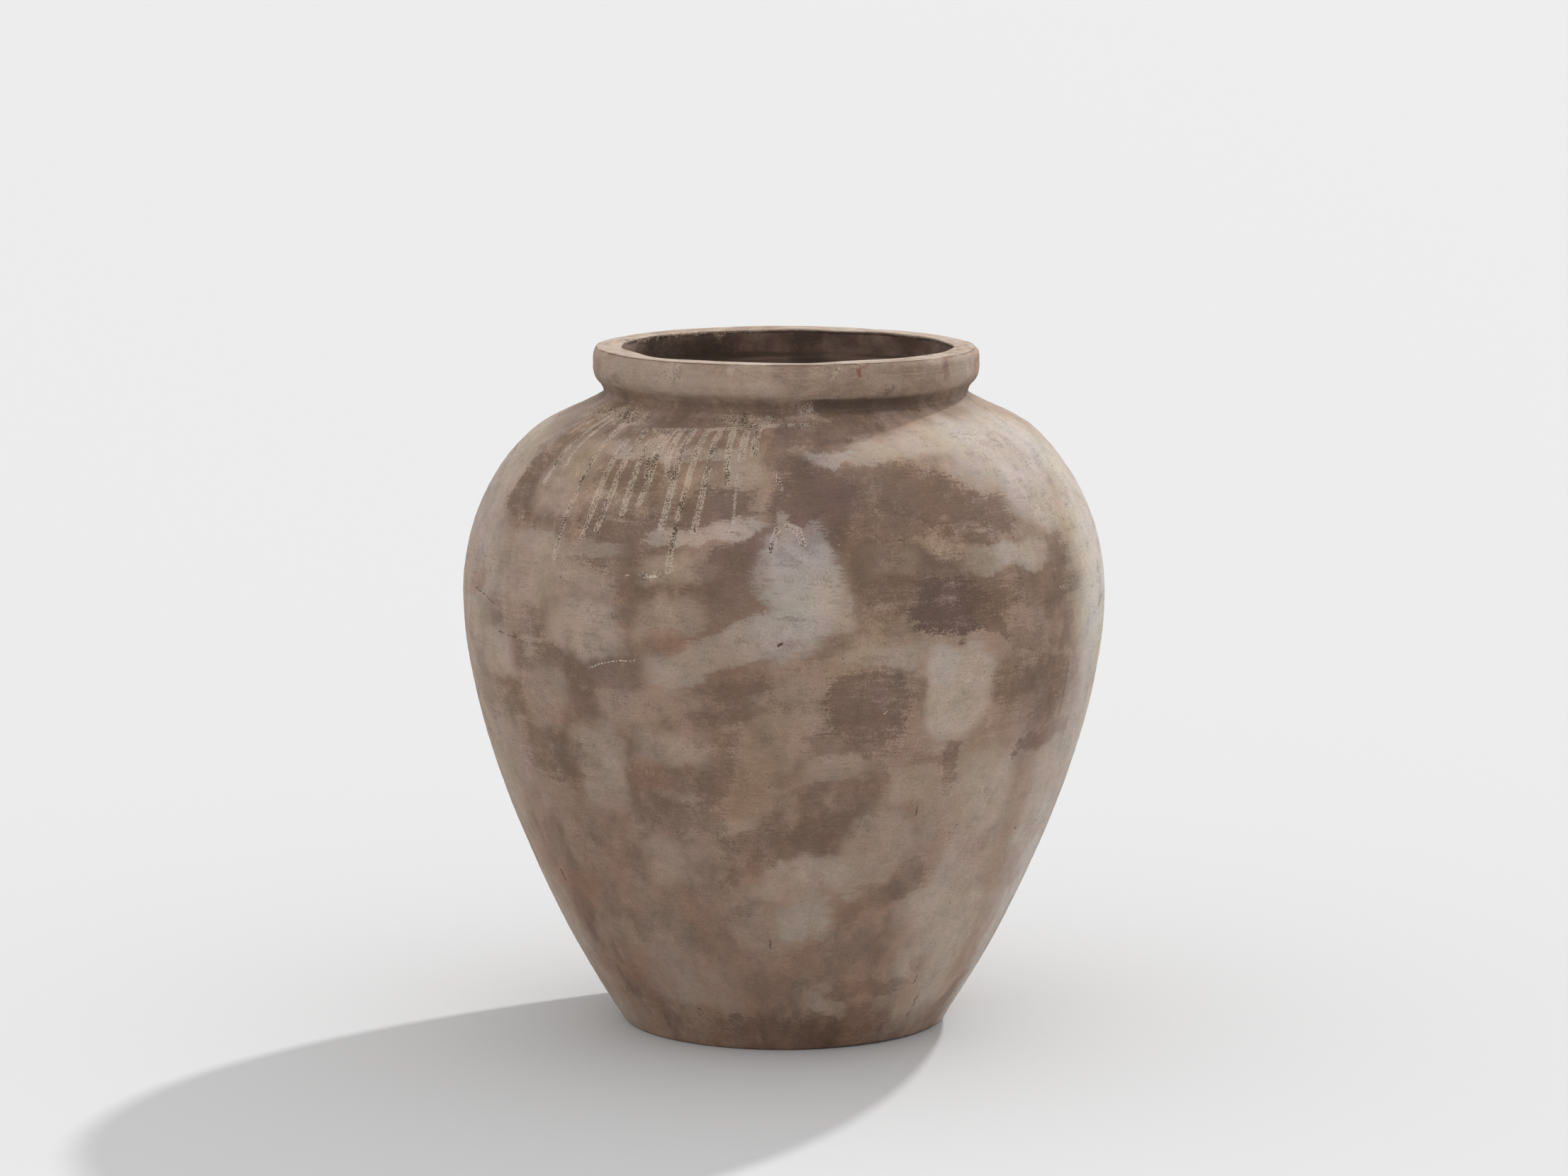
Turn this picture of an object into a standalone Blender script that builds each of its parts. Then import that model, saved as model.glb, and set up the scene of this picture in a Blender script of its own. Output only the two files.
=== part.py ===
"""Large fired-clay jar planter with a rubber plug in its drain hole.

Metres, +Z up. The origin is on the ground, in the middle of the foot.
A turned shape here is a chain of stations on one half of its section. A station is a radius,
a height and a heading: 0 runs outwards, 90 down, 180 inwards and 270 up.
"""

import math

import bpy
from mathutils import Vector

# Whole jar
HEIGHT = 0.915
BELLY_RADIUS = 0.4315
BELLY_HEIGHT = 0.582
WALL = 0.022
FLOOR = 0.030

# Taper from the belly down to the foot. Insets are measured in from the belly
TAPER_INSET = 0.0505
TAPER_DROP = 0.249
TAPER_HEADING = 109
FOOT_RADIUS = 0.218
FOOT_HEADING = 123
FOOT_EDGE_ROUNDING = 0.006
HEEL_ROUNDING = 0.040

# Rolled rim. Each drop is measured from the station above it, and each overhang out from the neck
NECK_RADIUS = 0.2445
RIM_TOP_OVERHANG = 0.010
RIM_EDGE_ROUNDING = 0.003
RIM_EDGE_HEADING = 60
RIM_ROLL_OVERHANG = 0.015
RIM_ROLL_DROP = 0.026
RIM_UNDERSIDE_OVERHANG = 0.0075
RIM_UNDERSIDE_DROP = 0.0225
RIM_UNDERSIDE_HEADING = 137
NECK_DROP = 0.015
NECK_HEADING = 95
NECK_FLARE_HEADING = 34
SHOULDER_INSET = 0.0895
SHOULDER_DROP = 0.055
SHOULDER_HEADING = 43.5

# Mouth. The lip stands in from the neck, over a slightly wider throat
LIP_INSET = 0.0255
LIP_ROUNDING = 0.003
LIP_DEPTH = 0.010
THROAT_RISE = 0.0135

# Drain hole and its plug
HOLE_RADIUS = 0.017
HOLE_EDGE_ROUNDING = 0.0015
PLUG_CLEARANCE = 0.0003
PLUG_RECESS = 0.008
PLUG_TAPER = 0.0020
PLUG_ROUNDING = 0.0015
PLUG_FLANGE_OVERLAP = 0.010
PLUG_FLANGE_THICKNESS = 0.006
PLUG_GRIP_RADIUS = 0.0085
PLUG_GRIP_WAIST = 0.0060
PLUG_GRIP_HEIGHT = 0.011
PLUG_GRIP_ROUNDING = 0.003

# Smoothness of the solids: how many sides a turn has, and how far a facet may lie off its curve
JAR_SIDES = 60
JAR_FACET_ERROR = 0.0008
PLUG_SIDES = 32
PLUG_FACET_ERROR = 0.0002
SAME_PLACE = 0.00001
SHARP_ANGLE = math.radians(35)

CLAY_COLOUR = (0.29, 0.21, 0.165, 1.0)
CLAY_ROUGHNESS = 0.92
RUBBER_COLOUR = (0.035, 0.034, 0.033, 1.0)
RUBBER_ROUGHNESS = 0.6


def clear_scene():
    for obj in list(bpy.data.objects):
        bpy.data.objects.remove(obj, do_unlink=True)


def direction(heading):
    angle = math.radians(heading)
    return Vector((math.cos(angle), -math.sin(angle)))


def station(radius, height, heading):
    return Vector((radius, height)), heading


def rounding(radius, height, heading_in, heading_out, size):
    """The two stations of an arc that rounds a corner, which lies at this radius and height."""
    corner = Vector((radius, height))
    turn = math.radians(abs(heading_out - heading_in))
    reach = size * math.tan(turn / 2)
    start = corner - direction(heading_in) * reach
    end = corner + direction(heading_out) * reach
    return [(start, heading_in), (end, heading_out)]


def inside(radius, height, heading):
    """The station on the jar's inside, one wall in from an outer station, and running back up."""
    inward = direction(heading + 90)
    return Vector((radius, height)) + inward * WALL, heading + 180


def joined(stations, facet_error):
    """Points along the smooth curves from station to station. A straight run takes none in between."""
    points = [stations[0][0]]
    for (start, heading_in), (end, heading_out) in zip(stations, stations[1:]):
        chord = (end - start).length
        if chord < SAME_PLACE:
            continue
        turn = math.radians((heading_out - heading_in + 180) % 360 - 180)
        handle = chord / 3 / math.cos(turn / 4) ** 2
        near = start + direction(heading_in) * handle
        far = end - direction(heading_out) * handle
        bend = (near - start).angle(far - near) + (far - near).angle(end - far)
        # A facet lies off its arc by an eighth of its length times the angle that the arc turns
        steps = max(1, math.ceil(math.sqrt(chord * bend / 8 / facet_error)))
        for step in range(1, steps + 1):
            t = step / steps
            s = 1 - t
            points.append(s**3 * start + 3 * s * s * t * near + 3 * s * t * t * far + t**3 * end)
    return points


def turned(name, points, closed, sides, material, collection):
    """Turns a half section about Z. The section runs down its outer side first."""
    edges = [(i, i + 1) for i in range(len(points) - 1)]
    if closed:
        edges.append((len(points) - 1, 0))
    mesh = bpy.data.meshes.new(name)
    mesh.from_pydata([(p.x, 0, p.y) for p in points], edges, [])
    mesh.materials.append(material)
    obj = bpy.data.objects.new(name, mesh)
    collection.objects.link(obj)
    screw = obj.modifiers.new("turn", "SCREW")
    screw.axis = "Z"
    screw.angle = math.tau
    screw.steps = screw.render_steps = sides
    screw.use_merge_vertices = True
    screw.merge_threshold = SAME_PLACE
    screw.use_smooth_shade = True
    return obj


def shade(obj):
    """Makes the turned surface real, and keeps its corners sharp."""
    graph = bpy.context.evaluated_depsgraph_get()
    mesh = bpy.data.meshes.new_from_object(obj.evaluated_get(graph))
    obj.modifiers.clear()
    obj.data = mesh
    mesh.shade_smooth()
    mesh.set_sharp_from_angle(angle=SHARP_ANGLE)


def surface(name, colour, roughness):
    material = bpy.data.materials.new(name)
    material.use_nodes = True
    shader = material.node_tree.nodes["Principled BSDF"]
    shader.inputs["Base Color"].default_value = colour
    shader.inputs["Roughness"].default_value = roughness
    shader.inputs["Metallic"].default_value = 0.0
    return material


def jar_section():
    """The clay's half section: down the outside, under the foot, up the drain hole and up the inside."""
    roll_height = HEIGHT - RIM_ROLL_DROP
    underside_height = roll_height - RIM_UNDERSIDE_DROP
    neck_height = underside_height - NECK_DROP
    shoulder = (BELLY_RADIUS - SHOULDER_INSET, neck_height - SHOULDER_DROP, SHOULDER_HEADING)
    belly = (BELLY_RADIUS, BELLY_HEIGHT, 90)
    taper = (BELLY_RADIUS - TAPER_INSET, BELLY_HEIGHT - TAPER_DROP, TAPER_HEADING)
    mouth_radius = NECK_RADIUS - LIP_INSET
    rim = [
        *rounding(NECK_RADIUS + RIM_TOP_OVERHANG, HEIGHT, 0, RIM_EDGE_HEADING, RIM_EDGE_ROUNDING),
        station(NECK_RADIUS + RIM_ROLL_OVERHANG, roll_height, 90),
        station(NECK_RADIUS + RIM_UNDERSIDE_OVERHANG, underside_height, RIM_UNDERSIDE_HEADING),
        station(NECK_RADIUS, neck_height, NECK_HEADING),
    ]
    outside = [
        station(NECK_RADIUS, neck_height, NECK_FLARE_HEADING),
        station(*shoulder),
        station(*belly),
        station(*taper),
        *rounding(FOOT_RADIUS, 0, FOOT_HEADING, 180, FOOT_EDGE_ROUNDING),
    ]
    hole = [
        *rounding(HOLE_RADIUS, 0, 180, 270, HOLE_EDGE_ROUNDING),
        *rounding(HOLE_RADIUS, FLOOR, 270, 360, HOLE_EDGE_ROUNDING),
    ]
    heel, _ = inside(FOOT_RADIUS, 0, FOOT_HEADING)
    rise = direction(FOOT_HEADING + 180)
    heel += rise * (FLOOR - heel.y) / rise.y
    hollow = [
        *rounding(heel.x, FLOOR, 360, FOOT_HEADING + 180, HEEL_ROUNDING),
        inside(*taper),
        inside(*belly),
        inside(*shoulder),
        station(NECK_RADIUS - WALL, neck_height + THROAT_RISE, 270),
        station(mouth_radius, HEIGHT - LIP_DEPTH, 270),
        *rounding(mouth_radius, HEIGHT, 270, 360, LIP_ROUNDING),
    ]
    return joined(rim + outside + hole + hollow, JAR_FACET_ERROR)


def plug_section():
    """The plug's half section, from the top of its grip to the tip of its shank. It sits at height 0."""
    flange_radius = HOLE_RADIUS + PLUG_FLANGE_OVERLAP
    grip_top = PLUG_FLANGE_THICKNESS + PLUG_GRIP_HEIGHT
    grip_middle = PLUG_FLANGE_THICKNESS + PLUG_GRIP_HEIGHT / 2
    shank_radius = HOLE_RADIUS - PLUG_CLEARANCE
    reach = FLOOR + PLUG_CLEARANCE - PLUG_RECESS
    taper_heading = 90 + math.degrees(math.atan(PLUG_TAPER / reach))
    grip = [
        station(0, grip_top, 0),
        *rounding(PLUG_GRIP_RADIUS, grip_top, 0, 90, PLUG_GRIP_ROUNDING),
        station(PLUG_GRIP_WAIST, grip_middle, 90),
        station(PLUG_GRIP_RADIUS, PLUG_FLANGE_THICKNESS, 45),
    ]
    flange = [
        station(PLUG_GRIP_RADIUS, PLUG_FLANGE_THICKNESS, 0),
        *rounding(flange_radius, PLUG_FLANGE_THICKNESS, 0, 90, PLUG_ROUNDING),
        *rounding(flange_radius, 0, 90, 180, PLUG_ROUNDING),
    ]
    shank = [
        *rounding(shank_radius, 0, 180, taper_heading, 0),
        *rounding(shank_radius - PLUG_TAPER, -reach, taper_heading, 180, PLUG_ROUNDING),
        station(0, -reach, 180),
    ]
    return joined(grip + flange + shank, PLUG_FACET_ERROR)


def main():
    clear_scene()
    planter = bpy.data.collections.new("jar_planter")
    bpy.context.scene.collection.children.link(planter)
    clay = surface("fired_clay", CLAY_COLOUR, CLAY_ROUGHNESS)
    rubber = surface("drain_plug_rubber", RUBBER_COLOUR, RUBBER_ROUGHNESS)
    jar = turned("jar", jar_section(), True, JAR_SIDES, clay, planter)
    plug = turned("drain_plug", plug_section(), False, PLUG_SIDES, rubber, planter)
    plug.location.z = FLOOR + PLUG_CLEARANCE
    for obj in (jar, plug):
        shade(obj)


main()
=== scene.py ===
"""Looks of the fired-clay jar planter. Metres, +Z up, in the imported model's frame."""

import math
import random

import bmesh
import bpy
import numpy as np
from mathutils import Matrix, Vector, noise


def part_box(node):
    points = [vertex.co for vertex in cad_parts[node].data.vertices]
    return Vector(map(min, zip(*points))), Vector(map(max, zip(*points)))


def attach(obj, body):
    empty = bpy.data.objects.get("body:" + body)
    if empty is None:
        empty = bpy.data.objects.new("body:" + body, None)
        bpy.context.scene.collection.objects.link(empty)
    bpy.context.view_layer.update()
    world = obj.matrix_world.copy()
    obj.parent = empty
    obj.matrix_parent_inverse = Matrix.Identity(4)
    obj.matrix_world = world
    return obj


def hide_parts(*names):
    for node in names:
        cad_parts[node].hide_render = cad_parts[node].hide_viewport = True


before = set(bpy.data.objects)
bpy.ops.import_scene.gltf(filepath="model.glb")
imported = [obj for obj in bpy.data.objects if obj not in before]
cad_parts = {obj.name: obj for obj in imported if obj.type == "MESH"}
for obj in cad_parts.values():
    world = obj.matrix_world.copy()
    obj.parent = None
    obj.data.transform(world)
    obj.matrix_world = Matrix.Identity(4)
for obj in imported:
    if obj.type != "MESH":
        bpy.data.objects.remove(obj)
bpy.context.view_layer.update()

# The jar
# A hand-finished oil-jar shape of coarse clay, coiled and thrown in one piece with its rolled rim and
# fired low, so that it stays matt. Pale and dark washes are brushed over it, and some ran and dried
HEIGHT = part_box("jar")[1].z
BELLY_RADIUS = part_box("jar")[1].x
BELLY_HEIGHT = 0.582
WALL = 0.022
FLOOR = 0.030
TAPER_INSET = 0.0505
TAPER_DROP = 0.249
TAPER_HEADING = 109
FOOT_RADIUS = 0.218
FOOT_HEADING = 123
FOOT_EDGE_ROUNDING = 0.006
HEEL_ROUNDING = 0.040
NECK_RADIUS = 0.2445
NECK_HEIGHT = HEIGHT - 0.0635
NECK_HEADING = 95
NECK_FLARE_HEADING = 34
NECK_ROUNDING = 0.003
SHOULDER_INSET = 0.0895
SHOULDER_DROP = 0.055
SHOULDER_HEADING = 43.5
RIM_ROLL_OVERHANG = 0.015
RIM_ROLL_HEIGHT = HEIGHT - 0.026
RIM_UNDERSIDE_OVERHANG = 0.0075
RIM_UNDERSIDE_HEIGHT = RIM_ROLL_HEIGHT - 0.0225
RIM_UNDERSIDE_HEADING = 137
ARRIS_OVERHANG = 0.010
ARRIS_HEADING = 60
ARRIS_ROUNDING = 0.003
LIP_RADIUS = NECK_RADIUS - 0.0255
LIP_DEPTH = 0.010
LIP_ROUNDING = 0.003
THROAT_RISE = 0.0135
HOLE_RADIUS = 0.017
HOLE_EDGE_ROUNDING = 0.0015


def direction(heading):
    """A unit step on the half section. Heading 0 runs outwards, 90 down, 180 inwards and 270 up."""
    angle = math.radians(heading)
    return Vector((math.cos(angle), -math.sin(angle)))


def station(radius, height, heading):
    return Vector((radius, height)), heading


def rounding(radius, height, heading_in, heading_out, size):
    """The two stations of an arc that rounds the corner at this radius and height."""
    corner = Vector((radius, height))
    reach = size * math.tan(math.radians(abs(heading_out - heading_in)) / 2)
    start = corner - direction(heading_in) * reach
    end = corner + direction(heading_out) * reach
    return [(start, heading_in), (end, heading_out)]


def inside(radius, height, heading):
    """The station on the hollow's side of the wall, running back up."""
    return Vector((radius, height)) + direction(heading + 90) * WALL, heading + 180


def joined(stations, spacing):
    """Points about this far apart along the smooth curves from station to station."""
    points = [stations[0][0]]
    for (start, heading_in), (end, heading_out) in zip(stations, stations[1:]):
        chord = (end - start).length
        turn = math.radians((heading_out - heading_in + 180) % 360 - 180)
        handle = chord / 3 / math.cos(turn / 4) ** 2
        near = start + direction(heading_in) * handle
        far = end - direction(heading_out) * handle
        steps = max(2, math.ceil(chord / spacing))
        for step in range(1, steps + 1):
            t = step / steps
            s = 1 - t
            points.append(s**3 * start + 3 * s * s * t * near + 3 * s * t * t * far + t**3 * end)
    return points


taper = (BELLY_RADIUS - TAPER_INSET, BELLY_HEIGHT - TAPER_DROP, TAPER_HEADING)
belly = (BELLY_RADIUS, BELLY_HEIGHT, 90)
shoulder = (BELLY_RADIUS - SHOULDER_INSET, NECK_HEIGHT - SHOULDER_DROP, SHOULDER_HEADING)
foot_edge = rounding(FOOT_RADIUS, 0, FOOT_HEADING, 180, FOOT_EDGE_ROUNDING)
heel = inside(FOOT_RADIUS, 0, FOOT_HEADING)[0]
rise = direction(FOOT_HEADING + 180)
heel += rise * (FLOOR - heel.y) / rise.y
half_section = [
    foot_edge[1],
    *rounding(HOLE_RADIUS, 0, 180, 270, HOLE_EDGE_ROUNDING),
    *rounding(HOLE_RADIUS, FLOOR, 270, 360, HOLE_EDGE_ROUNDING),
    *rounding(heel.x, FLOOR, 360, FOOT_HEADING + 180, HEEL_ROUNDING),
    inside(*taper),
    inside(*belly),
    inside(*shoulder),
    station(NECK_RADIUS - WALL, NECK_HEIGHT + THROAT_RISE, 270),
    station(LIP_RADIUS, HEIGHT - LIP_DEPTH, 270),
    *rounding(LIP_RADIUS, HEIGHT, 270, 360, LIP_ROUNDING),
    *rounding(NECK_RADIUS + ARRIS_OVERHANG, HEIGHT, 0, ARRIS_HEADING, ARRIS_ROUNDING),
    station(NECK_RADIUS + RIM_ROLL_OVERHANG, RIM_ROLL_HEIGHT, 90),
    station(NECK_RADIUS + RIM_UNDERSIDE_OVERHANG, RIM_UNDERSIDE_HEIGHT, RIM_UNDERSIDE_HEADING),
    *rounding(NECK_RADIUS, NECK_HEIGHT, NECK_HEADING, NECK_FLARE_HEADING, NECK_ROUNDING),
    station(*shoulder),
    station(*belly),
    station(*taper),
    *foot_edge,
]
# Climb is the way along the section: from the foot's edge up the outside, over the rim and down inside
CURVE_SPACING = 0.001
curve = np.array(joined(half_section, CURVE_SPACING)[::-1])
steps = np.diff(curve, axis=0)
lengths = np.hypot(steps[:, 0], steps[:, 1])
climbs = np.concatenate(([0], np.cumsum(lengths)))
headings = np.unwrap(np.arctan2(steps[:, 1], steps[:, 0]))
out_of_clay = np.stack((np.sin(headings), -np.cos(headings)), axis=1)
middles = (climbs[1:] + climbs[:-1]) / 2


def climb_at(radius, height):
    """The climb of the section's point nearest to this radius and height."""
    return climbs[np.argmin(np.hypot(curve[:, 0] - radius, curve[:, 1] - height))]


NECK_CLIMB = climb_at(NECK_RADIUS, NECK_HEIGHT)
ARRIS_CLIMB = climb_at(NECK_RADIUS + ARRIS_OVERHANG, HEIGHT)
LIP_CLIMB = climb_at(LIP_RADIUS, HEIGHT)
FULL_CLIMB = climbs[-1]

# Rows of the clay's mesh lie closer on the rim and round each corner, and wider apart on the inside
OUTSIDE_ROW = 0.0066
RIM_ROW = 0.0025
INSIDE_ROW = 0.016
CORNER_TURN = math.radians(14)
RIM_ROWS_FROM = NECK_CLIMB - 0.01
RIM_ROWS_TO = LIP_CLIMB + 0.015
row_gap = np.where(middles < RIM_ROWS_FROM, OUTSIDE_ROW, RIM_ROW)
row_gap = np.where(middles > RIM_ROWS_TO, INSIDE_ROW, row_gap)
turned = np.abs(np.diff(headings, prepend=headings[0]))
count = np.concatenate(([0], np.cumsum(lengths / row_gap + turned / CORNER_TURN)))
rows = np.interp(np.linspace(0, count[-1], round(count[-1]) + 1), count, climbs)

# Columns lie closer on the side that the photograph shows, where the marks are
FRONT = math.radians(75)
FRONT_COLUMNS = 150
BACK_COLUMNS = 86
back = np.linspace(FRONT, math.tau - FRONT, BACK_COLUMNS + 1)
front = np.linspace(-FRONT, FRONT, FRONT_COLUMNS + 1)
half_back = BACK_COLUMNS // 2
columns = np.concatenate((back[half_back:-1] - math.tau, front, back[1 : half_back + 1]))

# Runs of thinned wash that dried on the shoulder. Each has its width in millimetres, how much of it is
# left, and the places that it passes, in degrees round from the front and millimetres up the outside
RUNS = [
    (8, 1.0, [(-38.2, 927), (-37.0, 905), (-36.4, 860), (-35.8, 820), (-36.2, 775), (-36.6, 760)]),
    (8, 1.0, [(-40.2, 900), (-39.6, 865), (-39.1, 820), (-38.9, 790), (-39.2, 748)]),
    (7, 0.9, [(-46.5, 930), (-45.6, 885), (-45.0, 850), (-44.7, 800), (-45.0, 718)]),
    (8, 1.0, [(-34.4, 930), (-33.2, 890), (-32.4, 855), (-31.9, 820), (-31.9, 786)]),
    (6, 1.0, [(-32.2, 930), (-31.2, 890), (-30.6, 860), (-29.2, 838)]),
    (8, 1.0, [(-30.0, 932), (-29.4, 885), (-28.5, 845), (-28.5, 820), (-28.9, 800)]),
    (7, 0.9, [(-27.4, 930), (-26.6, 880), (-25.2, 852), (-23.6, 838)]),
    (8, 1.0, [(-24.4, 928), (-23.9, 880), (-22.9, 845), (-22.8, 800), (-23.0, 770)]),
    (8, 1.0, [(-20.6, 930), (-20.3, 900), (-20.2, 878)]),
    (7, 1.0, [(-19.9, 870), (-19.7, 830), (-20.0, 790), (-20.4, 740), (-20.6, 714)]),
    (7, 1.0, [(-17.2, 932), (-16.9, 900), (-16.6, 872)]),
    (8, 1.0, [(-16.2, 860), (-16.1, 820), (-16.6, 768)]),
    (7, 1.0, [(-13.6, 935), (-12.8, 885), (-11.8, 850), (-11.5, 836)]),
    (8, 1.0, [(-10.1, 935), (-9.8, 900), (-9.4, 875)]),
    (9, 1.0, [(-7.2, 942), (-7.0, 905), (-6.8, 884)]),
    (6, 0.5, [(-9.6, 850), (-9.4, 780)]),
    (5, 0.9, [(-1.4, 850), (-1.2, 842), (-0.5, 828)]),
    (7, 0.8, [(-36.0, 931), (-28.0, 934), (-20.0, 938), (-10.0, 946), (2.0, 953), (7.0, 954)]),
    (8, 0.9, [(-1.2, 772), (-1.8, 758), (-2.4, 743)]),
    (8, 0.9, [(0.6, 776), (2.6, 770), (3.4, 752)]),
    (6, 0.6, [(-62.0, 935), (-62.1, 893)]),
    (6, 0.5, [(-65.8, 935), (-65.2, 895)]),
    (8, 0.7, [(-57.8, 945), (-56.6, 905), (-56.2, 870), (-55.6, 814)]),
    (7, 0.6, [(-54.6, 945), (-53.2, 895), (-52.3, 846)]),
    (7, 0.6, [(-51.0, 945), (-49.4, 905)]),
    (7, 0.6, [(-48.4, 940), (-47.0, 905)]),
    (6, 0.5, [(47.2, 900), (47.3, 845)]),
    (6, 0.6, [(48.8, 900), (48.8, 828)]),
    (6, 0.5, [(53.8, 870), (53.9, 800), (54.8, 756)]),
    (6, 0.4, [(57.2, 880), (57.0, 850)]),
]
RUN_THICKNESS = 0.00025
# Pits, chips, cracks and scratches in the clay, with their width, depth and places in the same units
SCARS = [
    (4.5, 2.0, [(-1.0, 622), (-0.3, 625)]),
    (3.0, 1.2, [(-49.8, 706), (-49.4, 706)]),
    (3.0, 1.0, [(-42.8, 693), (-42.5, 694)]),
    (3.0, 1.0, [(-38.9, 645), (-38.6, 645)]),
    (2.5, 0.8, [(-30.0, 637), (-29.8, 637)]),
    (2.5, 0.8, [(-52.6, 673), (-52.4, 673)]),
    (2.5, 0.9, [(10.0, 605), (10.2, 605)]),
    (2.5, 0.8, [(14.3, 621), (14.4, 620)]),
    (3.0, 1.0, [(37.0, 574), (37.1, 575)]),
    (2.5, 0.8, [(8.0, 350), (8.1, 350)]),
    (2.5, 0.8, [(41.0, 437), (41.1, 437)]),
    (2.5, 0.8, [(44.2, 326), (44.4, 325)]),
    (4.0, 1.2, [(56.0, 336), (56.2, 334)]),
    (3.0, 1.0, [(55.2, 680), (55.4, 679)]),
    (3.0, 0.9, [(72.8, 826), (73.3, 826)]),
    (3.0, 0.9, [(68.2, 771), (68.7, 771)]),
    (3.0, 0.9, [(61.0, 832), (61.3, 830)]),
    (3.0, 0.9, [(-52.8, 73), (-52.4, 74)]),
    (3.0, 0.9, [(-27.0, 72), (-25.6, 70)]),
    (2.5, 0.8, [(58.2, 491), (58.8, 490)]),
    (2.5, 0.5, [(-71.0, 655), (-66.0, 650), (-61.3, 642)]),
    (3.0, 0.7, [(-60.0, 607), (-53.5, 605)]),
    (5.0, 1.0, [(-59.6, 268), (-59.4, 252)]),
    (2.6, 1.0, [(-3.6, 197), (-3.1, 191), (-3.5, 186), (-3.0, 180)]),
    (2.2, 0.7, [(39.6, 122), (39.1, 116), (39.5, 111), (39.0, 104)]),
    (2.2, 0.7, [(43.6, 80), (43.0, 74), (43.4, 68), (42.9, 62)]),
    (2.2, 0.6, [(43.2, 53), (42.7, 48), (42.9, 42)]),
    (2.0, 0.6, [(26.2, 400), (26.4, 380)]),
    (2.0, 0.5, [(41.0, 240), (41.4, 234)]),
]
# Pale scratches and flecks of wash, with their width, strength and places
FLECKS = [
    (2.5, 0.8, [(-36.0, 579), (-33.5, 587), (-30.5, 593), (-26.2, 596)]),
    (2.5, 0.6, [(-61.0, 609), (-56.0, 606), (-50.0, 604)]),
    (5.0, 0.9, [(-24.6, 706), (-22.6, 705)]),
    (3.5, 0.8, [(-28.6, 704), (-28.0, 705)]),
    (3.0, 0.8, [(9.6, 750), (10.2, 751)]),
    (4.0, 0.6, [(56.8, 668), (58.4, 668)]),
    (3.0, 0.6, [(46.8, 624), (48.4, 624)]),
    (3.0, 0.7, [(17.4, 528), (18.2, 533)]),
    (3.0, 0.6, [(26.0, 786), (27.4, 783)]),
    (4.0, 0.6, [(60.6, 832), (61.4, 830)]),
    (3.0, 0.5, [(4.0, 498), (6.6, 490)]),
    (2.0, 0.4, [(-4.0, 748), (4.0, 742)]),
    (3.0, 0.6, [(54.0, 378), (54.4, 376)]),
]


# Keeps a line of no length from dividing by zero
TINY = 1e-12


def place_on_clay(spot):
    """A spot's turn in radians and climb in metres, from degrees and millimetres."""
    return math.radians(spot[0]), spot[1] / 1000


def half(width):
    """Half a mark's width, in metres."""
    return width / 2000


def way_off(turn, climb, radius, line):
    """How far each place on the clay is from a line drawn on it."""
    nearest = np.full(len(turn), np.inf)
    for start, end in zip(line, line[1:]):
        (turn_a, climb_a), (turn_b, climb_b) = place_on_clay(start), place_on_clay(end)
        across, along = (turn - turn_a) * radius, climb - climb_a
        whole_across, whole_along = (turn_b - turn_a) * radius, climb_b - climb_a
        part = (across * whole_across + along * whole_along) / (whole_across**2 + whole_along**2 + TINY)
        part = np.clip(part, 0, 1)
        off = np.hypot(across - part * whole_across, along - part * whole_along)
        nearest = np.minimum(nearest, off)
    return nearest


# The mesh is laid out flat first, by turn and climb, with small faces where there are marks
FINER_BY = 2
MARK_MARGIN = OUTSIDE_ROW * 0.6
flat = bmesh.new()
grid = [[flat.verts.new((turn, climb, 0)) for turn in columns] for climb in rows]
for low, high in zip(grid, grid[1:]):
    for a, b, c, d in zip(low, low[1:], high[1:], high):
        flat.faces.new((a, b, c, d))
centres = np.array([face.calc_center_median() for face in flat.faces])
centre_radius = np.interp(centres[:, 1], climbs, curve[:, 0])
marked = np.zeros(len(centres), bool)
for width, _, line in RUNS + SCARS + FLECKS:
    off = way_off(centres[:, 0], centres[:, 1], centre_radius, line)
    marked |= off < half(width) + MARK_MARGIN
flat.faces.ensure_lookup_table()
finer = {edge for i in np.flatnonzero(marked) for edge in flat.faces[i].edges}
bmesh.ops.subdivide_edges(flat, edges=list(finer), cuts=FINER_BY, use_grid_fill=True)
bmesh.ops.triangulate(flat, faces=[face for face in flat.faces if len(face.verts) > 4])
places = np.array([vert.co for vert in flat.verts])
turn, climb = places[:, 0], places[:, 1]
radius = np.interp(climb, climbs, curve[:, 0])
height = np.interp(climb, climbs, curve[:, 1])
out_radius = np.interp(climb, middles, out_of_clay[:, 0])
out_height = np.interp(climb, middles, out_of_clay[:, 1])
length = np.hypot(out_radius, out_height)
out_radius, out_height = out_radius / length, out_height / length


def near(value, middle, reach):
    """1 at the middle, falling smoothly to 0 at this reach."""
    return np.clip(1 - ((value - middle) / reach) ** 2, 0, 1) ** 2


def unevenness(phase, *counts):
    """A slow change round the jar, between -1 and 1."""
    waves = [np.cos(n * turn + phase * n * n) for n in counts]
    return np.sum(waves, axis=0) / len(counts)


def lumps(size, tall=1.0, seed=0.0):
    """Smooth lumps of this size on the clay, between -1 and 1. A tall of 0.1 makes them level bands."""
    x = np.sin(turn) * radius / size
    y = np.cos(turn) * radius / size
    z = climb / size / tall + seed
    return np.array([noise.noise(spot) for spot in zip(x, y, z)])


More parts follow.
